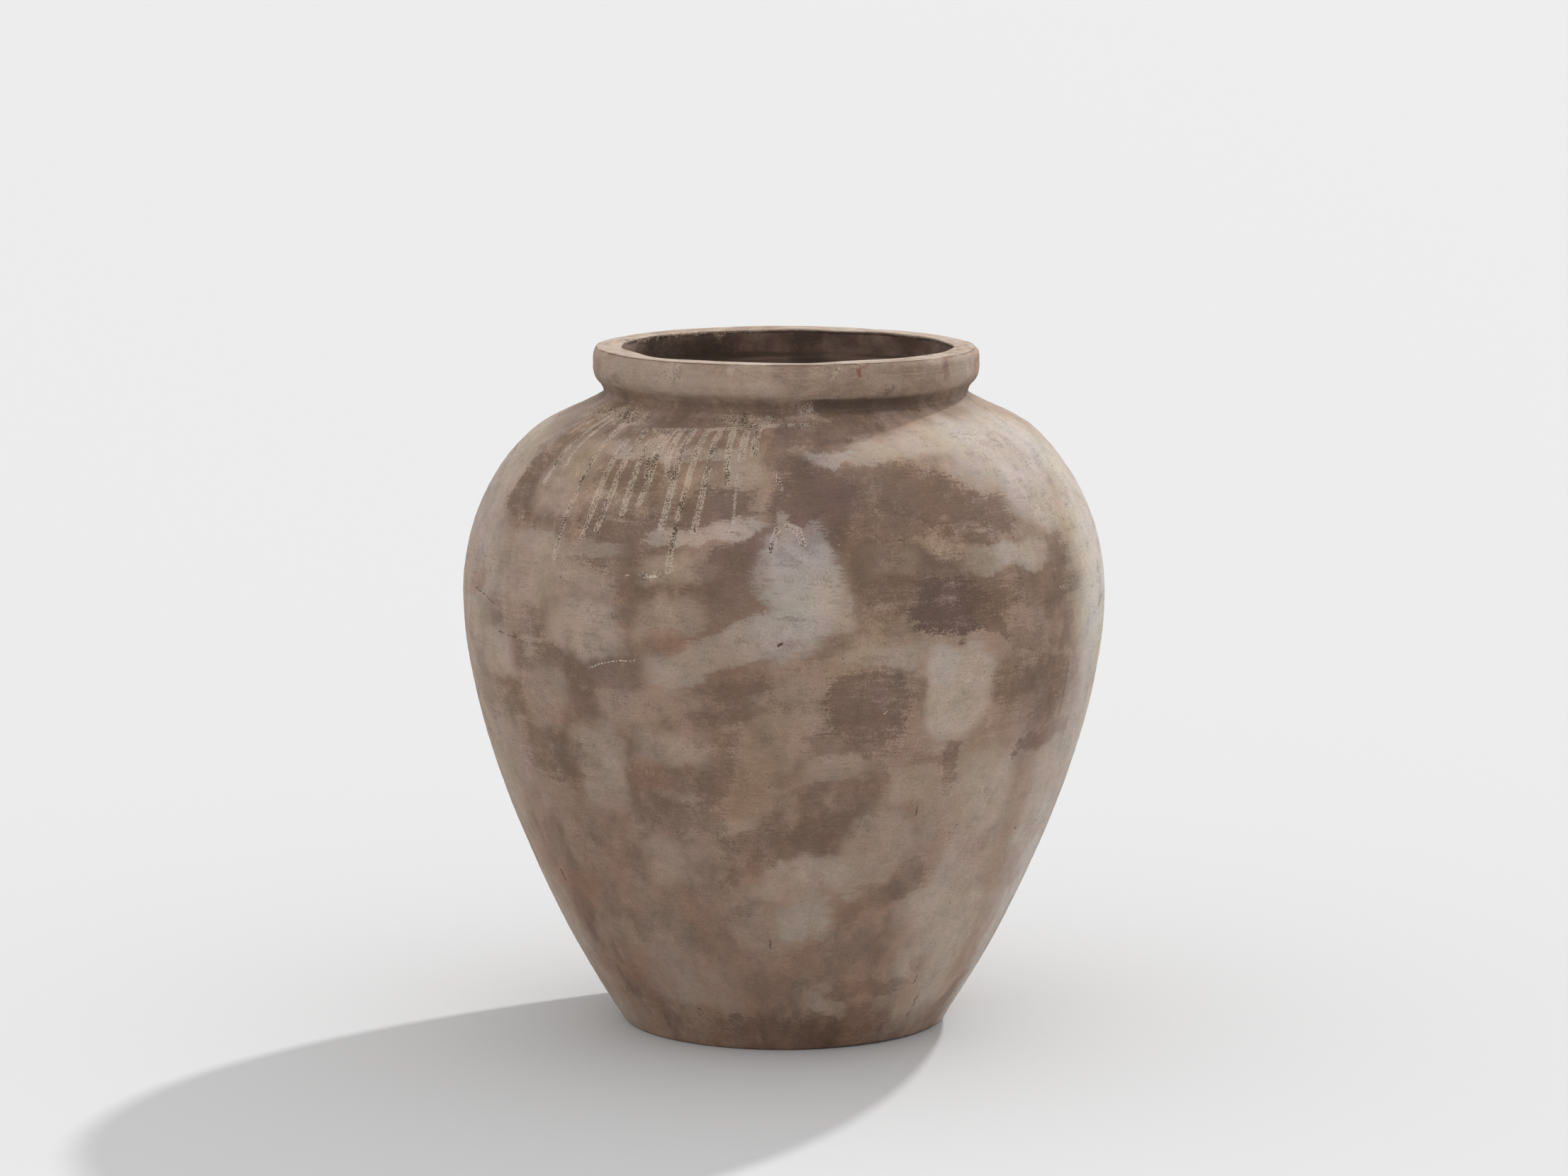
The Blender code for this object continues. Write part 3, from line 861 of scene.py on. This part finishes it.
# A last dry brush drags pale and dark streaks over it all, most on the upper half, and redder clay
# shows through on the lower half
upper = fade(metres_up, 0.25, 0.60)
dry_places = fade(grain(on_clay, 6, 2.0), 0.38, 0.60)
dry_brush = streaks * 0.45 + blots * 0.30 + grit * 0.25
dragged = fade(dry_brush, 0.49, 0.62, 0.42) * (upper * 0.8 + 0.2) * dry_places
colour = laid(colour, WASHES["bone"], dragged)
dark_drag = fade(dry_brush, 0.51, 0.38, 0.45) * (upper * 0.7 + 0.3) * (1 - dry_places * 0.5)
colour = laid(colour, WASHES["umber"], dark_drag)
reddened = fade(grain(on_clay, 9, 3.0, 0.6), 0.42, 0.64, 0.42) * (1 - upper * 0.8)
colour = laid(colour, WASHES["rust"], reddened)

# The rolled rim is tan, with a painted highlight on top. A dark line is worn along its arris, with a pale
# tool line below. Painted shade lies in the groove under the rim, darkest in a band from the front to the
# right
TAN = linear(157, 137, 121)
DULL_TAN = linear(137, 116, 100)
GROOVE_SHADE = linear(98, 78, 66)
RIM_TOP_HIGHLIGHT = linear(174, 158, 144)
UNDER_RIM_SHADE = linear(78, 66, 56)
ARRIS_LINE = linear(104, 86, 73)
PALE_LINE = linear(178, 160, 145)
round_rim = stretched(on_clay, 0.55, 0.55, 2.2)
rim_side = fade(metres_up, NECK_CLIMB + 0.002, NECK_CLIMB + 0.018)
smears = grain(round_rim, 16, 6.0, 0.68)
tan = laid(TAN, DULL_TAN, fade(smears, 0.40, 0.62))
colour = laid(colour, tan, rim_side * 0.85)
# Painted shade darkens the groove under the rim
groove_shade = fade(metres_up + (blots - 0.5) * 0.03, NECK_CLIMB - 0.012, NECK_CLIMB + 0.004)
groove_shade = groove_shade * fade(metres_up + (blots - 0.5) * 0.02, NECK_CLIMB + 0.018, NECK_CLIMB + 0.006)
colour = laid(colour, GROOVE_SHADE, groove_shade * 0.40)
for work in RIM_WORK:
    colour = dab(colour, *work)
# A painted highlight: the rim's top is laid paler, as the light from above would make it
rim_top_highlight = fade(metres_up + (blots - 0.5) * 0.006, ARRIS_CLIMB - 0.003, ARRIS_CLIMB + 0.004)
colour = laid(colour, RIM_TOP_HIGHLIGHT, rim_top_highlight * fade(smears, 0.70, 0.36, 0.9))


def line_round(at, reach, strength):
    """A thin line drawn round the rim at this climb."""
    off = metres_up + (blots - 0.5) * 0.004 - at
    return fade(off.sum("ABSOLUTE", off), reach, reach * 0.4, strength)


broken = fade(smears, 0.42, 0.52)
# Painted shade: a dark band on the underside of the rolled rim, from the front round to the right
shade_above = fade(metres_up + (smears - 0.5) * 0.012, NECK_CLIMB + 0.019, NECK_CLIMB + 0.013)
shade_below = fade(metres_up + (streaks - 0.5) * 0.030, NECK_CLIMB - 0.010, NECK_CLIMB + 0.006)
shade_round = fade(turn_round, 0.02, 0.16) * fade(turn_round, 1.00, 0.62)
colour = laid(colour, UNDER_RIM_SHADE, shade_above * shade_below * shade_round * 0.80)
colour = laid(colour, ARRIS_LINE, line_round(ARRIS_CLIMB - 0.002, 0.0020, 0.8) * broken)
tool_line = line_round(ARRIS_CLIMB - 0.020, 0.0010, 0.3)
colour = laid(colour, PALE_LINE, tool_line * fade(smears, 0.46, 0.54))

# Runs keep a pale outline and a thin skin that is full of open pits, and scars show the dark clay
RUN_SKIN = linear(170, 154, 140)
RUN_OUTLINE = linear(184, 169, 154)
RUN_PITS = linear(86, 66, 55)
CRUST = linear(186, 168, 150)
CRUST_HOLES = linear(84, 67, 57)
SCAR_CLAY = linear(72, 56, 48)
FLECK_WASH = linear(200, 187, 174)
PIN_HOLES = linear(62, 48, 41)
run_mask = start.node("Attribute", {"attribute_name": "runs"}, {}, "Fac")
ragged_run = run_mask + (grit - 0.5) + (blots - 0.5) * 0.9
colour = laid(colour, RUN_SKIN, fade(ragged_run, 0.34, 0.50, 0.60))
outline_cover = fade(ragged_run, 0.26, 0.42) * fade(ragged_run, 0.74, 0.46, 0.30)
colour = laid(colour, RUN_OUTLINE, outline_cover)
crust = touched_all(CRUSTS)
crust_holes = on_clay.node("TexVoronoi", {}, {"Vector": on_clay, "Scale": 300})
colour = laid(colour, CRUST, fade(crust_holes, 0.30, 0.50, 0.5) * crust)
deep_holes = fade(crust_holes + (blots - 0.5) * 2.2, 0.44, 0.28, 0.9)
colour = laid(colour, CRUST_HOLES, deep_holes * crust)
pits = on_clay.node("TexVoronoi", {}, {"Vector": on_clay, "Scale": 430})
open_pits = fade(pits + (blots - 0.5) * 1.6, 0.47, 0.34) * fade(run_mask, 0.34, 0.56, 0.95)
colour = laid(colour, RUN_PITS, open_pits)
scar_mask = start.node("Attribute", {"attribute_name": "scars"}, {}, "Fac")
colour = laid(colour, SCAR_CLAY, fade(scar_mask + (grit - 0.5) * 1.4, 0.44, 0.70, 0.9))
fleck_mask = start.node("Attribute", {"attribute_name": "flecks"}, {}, "Fac")
colour = laid(colour, FLECK_WASH, fade(fleck_mask + (grit - 0.5) * 2.2, 0.46, 0.66, 0.7))
pin_holes = on_clay.node("TexVoronoi", {}, {"Vector": on_clay, "Scale": 62})
pin_cover = fade(pin_holes, 0.075, 0.045, 0.8) * fade(grain(on_clay, 11, 2.0), 0.54, 0.58)
colour = laid(colour, PIN_HOLES, pin_cover)

# The hollow is bare, stained clay with a line of painted shadow just inside its lip, and the lip is crusty
# at the back left
HOLLOW_CLAY = linear(126, 105, 91)
HOLLOW_STAIN = linear(92, 74, 63)
DAMP = linear(60, 46, 39)
LIP_SHADOW_LINE = linear(52, 40, 34)
LIP_CRUST = linear(150, 131, 115)
LIP_HOLES = linear(66, 51, 43)
round_mouth = stretched(on_clay, 0.5, 0.5, 1.1)
hollow = fade(metres_up + (blots - 0.5) * 0.006, LIP_CLIMB + 0.0005, LIP_CLIMB + 0.0035)
stained = laid(HOLLOW_CLAY, HOLLOW_STAIN, fade(grain(round_mouth, 13, 5.0, 0.6), 0.40, 0.64))
stained = laid(stained, DAMP, touched_all(DAMP_PLACES))
colour = laid(colour, stained, hollow)
# Painted shadow: a dark line just inside the lip
colour = laid(colour, LIP_SHADOW_LINE, line_round(LIP_CLIMB + 0.0045, 0.0022, 0.7) * broken)
crusty_lip = touched(*CRUSTY_LIP)
colour = laid(colour, LIP_CRUST, fade(crust_holes, 0.25, 0.45, 0.8) * crusty_lip)
deep_holes = fade(crust_holes + (blots - 0.5), 0.44, 0.30, 0.9)
colour = laid(colour, LIP_HOLES, deep_holes * crusty_lip)

# The whole surface is mottled finely, and drifts a little between warmer and cooler, redder and greener
fine_tone = (bristles - 0.5) * 0.55 + (blots - 0.5) * 0.65 + (grit - 0.5) * 0.85 + 1.0
drift = 0.45 + upper * 0.55 - rim_side * 0.6
warmth = (grain(on_clay, 10, 5.0, 0.6) - 0.5) * drift
redness = (grain(on_clay, 14, 4.0, 0.6) - 0.5) * drift
tint = {
    0: fine_tone + redness * 0.09,
    1: fine_tone - redness * 0.09 - warmth * 0.1,
    2: fine_tone - warmth * 0.6,
}
tinted = start.node("CombineXYZ", {}, tint)
colour = colour.node("VectorMath", {"operation": "MULTIPLY"}, {0: colour, 1: tinted})
tree.links.new(colour.output, shader.inputs["Base Color"])
roughness = 0.86 + (blots - 0.5) * 0.2
tree.links.new(roughness.output, shader.inputs["Roughness"])
shader.inputs["Specular IOR Level"].default_value = 0.25
# Sand in the clay and the marks of combing roughen it
sand = grain(on_clay, 650, 3.0, 0.65)
combed = grain(stretched(on_clay, 1, 1, 18), 24, 4.0, 0.65)
surface = sand * 0.7 + combed * 0.6 + grain(on_clay, 110, 3.0, 0.6) * 0.8
bump = surface.node("Bump", {}, {"Strength": 0.8, "Distance": 0.0009, "Height": surface})
tree.links.new(bump.output, shader.inputs["Normal"])
clay_mesh.materials.append(clay)
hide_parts("jar")
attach(clay_jar, "jar")

# The drain plug
# A moulded plug of black rubber that is pressed into the hole in the jar's floor from inside, and pulled
# out by the knob on its flange. Two thin moulded rings run round the flange's top
SHANK_REACH = 0.0223
PLUG_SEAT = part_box("drain_plug")[0].z + SHANK_REACH
PLUG_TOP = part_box("drain_plug")[1].z - PLUG_SEAT
FLANGE_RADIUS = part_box("drain_plug")[1].x
FLANGE_THICKNESS = 0.006
PLUG_CLEARANCE = 0.0003
SHANK_RADIUS = HOLE_RADIUS - PLUG_CLEARANCE
SHANK_TIP_RADIUS = SHANK_RADIUS - 0.0020
GRIP_RADIUS = 0.0085
GRIP_WAIST = 0.0060
GRIP_ROUNDING = 0.003
GRIP_FOOT_HEADING = 20
RUBBER_ROUNDING = 0.0012
RING_HEIGHT = 0.0006
RING_HALF_WIDTH = 0.0011
RING_RADII = (0.0145, 0.0215)
ON_FLANGE_TOP = 0.004
OUTLINE_SPACING = 0.0006
PLUG_SIDES = 96
SHARP_ANGLE = math.radians(40)
shank_slope = 90 + math.degrees(math.atan((SHANK_RADIUS - SHANK_TIP_RADIUS) / SHANK_REACH))
plug_section = [
    station(0, PLUG_TOP, 0),
    *rounding(GRIP_RADIUS, PLUG_TOP, 0, 90, GRIP_ROUNDING),
    station(GRIP_WAIST, (PLUG_TOP + FLANGE_THICKNESS) / 2, 90),
    station(GRIP_RADIUS, FLANGE_THICKNESS - RING_HEIGHT, GRIP_FOOT_HEADING),
    *rounding(FLANGE_RADIUS, FLANGE_THICKNESS - RING_HEIGHT, 0, 90, RUBBER_ROUNDING),
    *rounding(FLANGE_RADIUS, 0, 90, 180, RUBBER_ROUNDING),
    station(SHANK_RADIUS, 0, 180),
    station(SHANK_RADIUS - PLUG_CLEARANCE / 10, -PLUG_CLEARANCE, shank_slope),
    *rounding(SHANK_TIP_RADIUS, -SHANK_REACH, shank_slope, 180, RUBBER_ROUNDING),
    station(0, -SHANK_REACH, 180),
]
outline = joined(plug_section, OUTLINE_SPACING)
for point in outline:
    for ring_radius in RING_RADII:
        if point.y > ON_FLANGE_TOP:
            point.y += RING_HEIGHT * max(0, 1 - ((point.x - ring_radius) / RING_HALF_WIDTH) ** 2)
turning = bmesh.new()
profile = [turning.verts.new((point.x, 0, point.y)) for point in outline]
profile_edges = [turning.edges.new(pair) for pair in zip(profile, profile[1:])]
full_turn = {"axis": (0, 0, 1), "cent": (0, 0, 0), "angle": math.tau, "steps": PLUG_SIDES}
bmesh.ops.spin(turning, geom=profile + profile_edges, use_merge=True, **full_turn)
bmesh.ops.remove_doubles(turning, verts=list(turning.verts), dist=SAME_PLACE)
bmesh.ops.recalc_face_normals(turning, faces=list(turning.faces))
plug_mesh = bpy.data.meshes.new("rubber_plug")
turning.to_mesh(plug_mesh)
turning.free()
plug_mesh.shade_smooth()
plug_mesh.set_sharp_from_angle(angle=SHARP_ANGLE)
rubber_plug = bpy.data.objects.new("rubber_plug", plug_mesh)
rubber_plug.location.z = PLUG_SEAT
bpy.context.collection.objects.link(rubber_plug)

BLACK_RUBBER = linear(45, 44, 43)
CLAY_DUST = linear(120, 104, 90)
rubber = bpy.data.materials.new("moulded_rubber")
rubber.use_nodes = True
tree = rubber.node_tree
shader = tree.nodes["Principled BSDF"]
start = Coat(tree)
spot = start.node("TexCoord", {}, {}, "Object")
dust = fade(grain(spot, 180, 4.0, 0.6), 0.46, 0.72, 0.5)
colour = laid(BLACK_RUBBER, CLAY_DUST, dust)
tree.links.new(colour.output, shader.inputs["Base Color"])
roughness = 0.5 + dust * 0.6
tree.links.new(roughness.output, shader.inputs["Roughness"])
moulded = grain(spot, 1500, 2.0, 0.6)
bump = moulded.node("Bump", {}, {"Strength": 0.5, "Distance": 0.0002, "Height": moulded})
tree.links.new(bump.output, shader.inputs["Normal"])
plug_mesh.materials.append(rubber)
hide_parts("drain_plug")
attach(rubber_plug, "plug")

# The floor
# A plain pale studio floor, which isn't part of the object. It keeps the jar's shadow
FLOOR_REACH = 60
FLOOR_GREY = (0.535, 0.535, 0.537, 1)
floor_mesh = bpy.data.meshes.new("floor")
corners = [(x * FLOOR_REACH, y * FLOOR_REACH, 0) for x, y in ((-1, -1), (1, -1), (1, 1), (-1, 1))]
floor_mesh.from_pydata(corners, [], [(0, 1, 2, 3)])
floor = bpy.data.objects.new("floor", floor_mesh)
bpy.context.collection.objects.link(floor)
plaster = bpy.data.materials.new("plaster")
plaster.use_nodes = True
shader = plaster.node_tree.nodes["Principled BSDF"]
shader.inputs["Base Color"].default_value = FLOOR_GREY
shader.inputs["Roughness"].default_value = 0.9
shader.inputs["Specular IOR Level"].default_value = 0.1
floor_mesh.materials.append(plaster)

# The light
# Even light from all round, and one lamp behind and to the right, as high as the photograph's shadow
# says. The camera sees a plain pale backdrop, also in gloss
SKY = 1.12
BACKDROP_GREY = (0.83, 0.83, 0.835, 1)
LAMP_TOWARDS = Vector((0.427, 0.622, 0.656))
LAMP_DISTANCE = 5
LAMP_SPREAD = math.radians(2.5)
LAMP_STRENGTH = 2.1
lamp_data = bpy.data.lights.new("key", "SUN")
lamp_data.angle = LAMP_SPREAD
lamp_data.energy = LAMP_STRENGTH
lamp = bpy.data.objects.new("key", lamp_data)
lamp.location = LAMP_TOWARDS * LAMP_DISTANCE
lamp.rotation_euler = LAMP_TOWARDS.to_track_quat("Z", "Y").to_euler()
bpy.context.collection.objects.link(lamp)
world = bpy.data.worlds.new("studio")
bpy.context.scene.world = world
world.use_nodes = True
tree = world.node_tree
tree.nodes.clear()
start = Coat(tree)
camera_ray = start.node("LightPath", {}, {}, "Is Camera Ray")
glossy_ray = start.node("LightPath", {}, {}, "Is Glossy Ray")
clear_ray = start.node("LightPath", {}, {}, "Is Transmission Ray")
seen = camera_ray + glossy_ray + clear_ray
even_light = start.node("Background", {}, {"Color": (1, 1, 1, 1), "Strength": SKY})
backdrop = start.node("Background", {}, {"Color": BACKDROP_GREY, "Strength": 1.0})
both = start.node("MixShader", {}, {0: seen, 1: even_light, 2: backdrop})
out = tree.nodes.new("ShaderNodeOutputWorld")
tree.links.new(both.output, out.inputs["Surface"])

# The camera
# It stands seven metres off and looks a little down at the jar, as the photograph's did
LENS = 120.83
SENSOR_WIDTH = 36
CAMERA_PLACE = (0, -7.0, 1.6246)
CAMERA_PITCH = math.radians(81.55)
camera_data = bpy.data.cameras.new("camera")
camera_data.lens = LENS
camera_data.sensor_width = SENSOR_WIDTH
camera = bpy.data.objects.new("camera", camera_data)
camera.location = CAMERA_PLACE
camera.rotation_euler = (CAMERA_PITCH, 0, 0)
bpy.context.collection.objects.link(camera)
bpy.context.scene.camera = camera
bpy.context.scene.view_settings.view_transform = "Standard"
